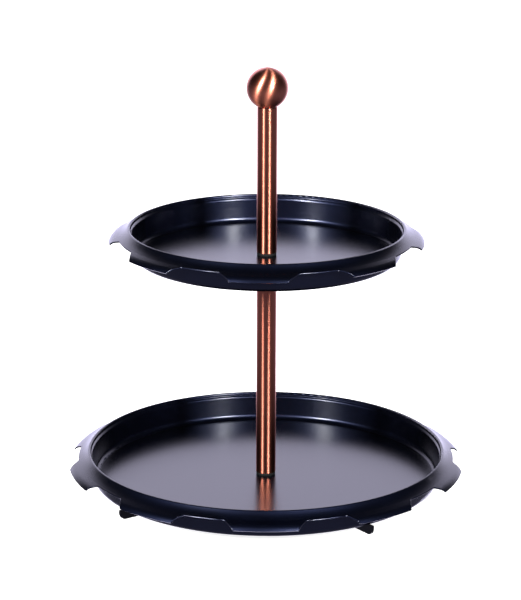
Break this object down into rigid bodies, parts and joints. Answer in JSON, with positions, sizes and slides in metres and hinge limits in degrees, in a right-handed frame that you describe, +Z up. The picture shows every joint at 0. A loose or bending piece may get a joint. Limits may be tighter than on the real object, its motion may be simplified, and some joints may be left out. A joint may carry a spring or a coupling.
{
  "type": "tiered cake stand",
  "caption": "Free-standing cake stand: round pressed trays with notched skirts, stacked on a screw-together stem that ends in a ball, on a low cross base.",
  "frame": {"origin": "on the resting plane, on the stem's axis", "axes": "+Z up along the stem, -Y towards the front, +X to the right"},
  "size_m": [0.317, 0.3212, 0.347],
  "materials": {
    "tray_paint": "smooth blue-black paint, semi-gloss",
    "base_paint": "black paint, semi-gloss",
    "copper_plate": "copper plated, finely brushed, clear lacquered",
    "zinc_steel": "bright zinc plate",
    "gasket_rubber": "matt"
  },
  "bodies": {
    "base": {"lower_tray": "tray_paint", "base_hub": "base_paint", "base_arm_1": "base_paint", "base_arm_2": "base_paint", "base_arm_3": "base_paint", "base_arm_4": "base_paint", "base_washer": "zinc_steel", "base_spring_washer": "zinc_steel", "base_screw": "zinc_steel"},
    "lower_washer": {"lower_stem_gasket": "gasket_rubber"},
    "lower_stem": {"lower_stem_tube": "copper_plate", "lower_stem_bottom_insert": "zinc_steel", "lower_stem_top_insert": "zinc_steel", "tray_stud": "zinc_steel"},
    "upper_tier": {"upper_tray": "tray_paint", "upper_tray_gasket": "gasket_rubber"},
    "upper_washer": {"upper_stem_gasket": "gasket_rubber"},
    "upper_stem": {"upper_stem_tube": "copper_plate", "upper_stem_bottom_insert": "zinc_steel", "upper_stem_top_insert": "zinc_steel"},
    "finial_washer": {"finial_gasket": "gasket_rubber"},
    "finial": {"finial_ball": "copper_plate", "finial_insert": "zinc_steel", "finial_stud": "zinc_steel"}
  },
  "joints": [
    {"name": "lower_stem_rise", "type": "slide", "parent": "base", "child": "lower_washer", "axis": [0, 0, 1], "range_m": [0, 0.007]},
    {"name": "lower_stem_turn", "type": "hinge", "parent": "lower_washer", "child": "lower_stem", "pos_m": [0, 0, 0.0113], "axis": [0, 0, 1], "range_deg": [0, 2520]},
    {"name": "upper_tray_lift", "type": "slide", "parent": "lower_stem", "child": "upper_tier", "axis": [0, 0, 1], "range_m": [0, 0.0135]},
    {"name": "upper_stem_rise", "type": "slide", "parent": "upper_tier", "child": "upper_washer", "axis": [0, 0, 1], "range_m": [0, 0.008]},
    {"name": "upper_stem_turn", "type": "hinge", "parent": "upper_washer", "child": "upper_stem", "pos_m": [0, 0, 0.1973], "axis": [0, 0, 1], "range_deg": [0, 2880]},
    {"name": "finial_rise", "type": "slide", "parent": "upper_stem", "child": "finial_washer", "axis": [0, 0, 1], "range_m": [0, 0.008]},
    {"name": "finial_turn", "type": "hinge", "parent": "finial_washer", "child": "finial", "pos_m": [0, 0, 0.3161], "axis": [0, 0, 1], "range_deg": [0, 2880]}
  ],
  "couplings": [
    {"joint": "lower_stem_turn", "follows": "lower_stem_rise", "rad_per_m": 6283.2},
    {"joint": "upper_stem_turn", "follows": "upper_stem_rise", "rad_per_m": 6283.2},
    {"joint": "finial_turn", "follows": "finial_rise", "rad_per_m": 6283.2}
  ]
}
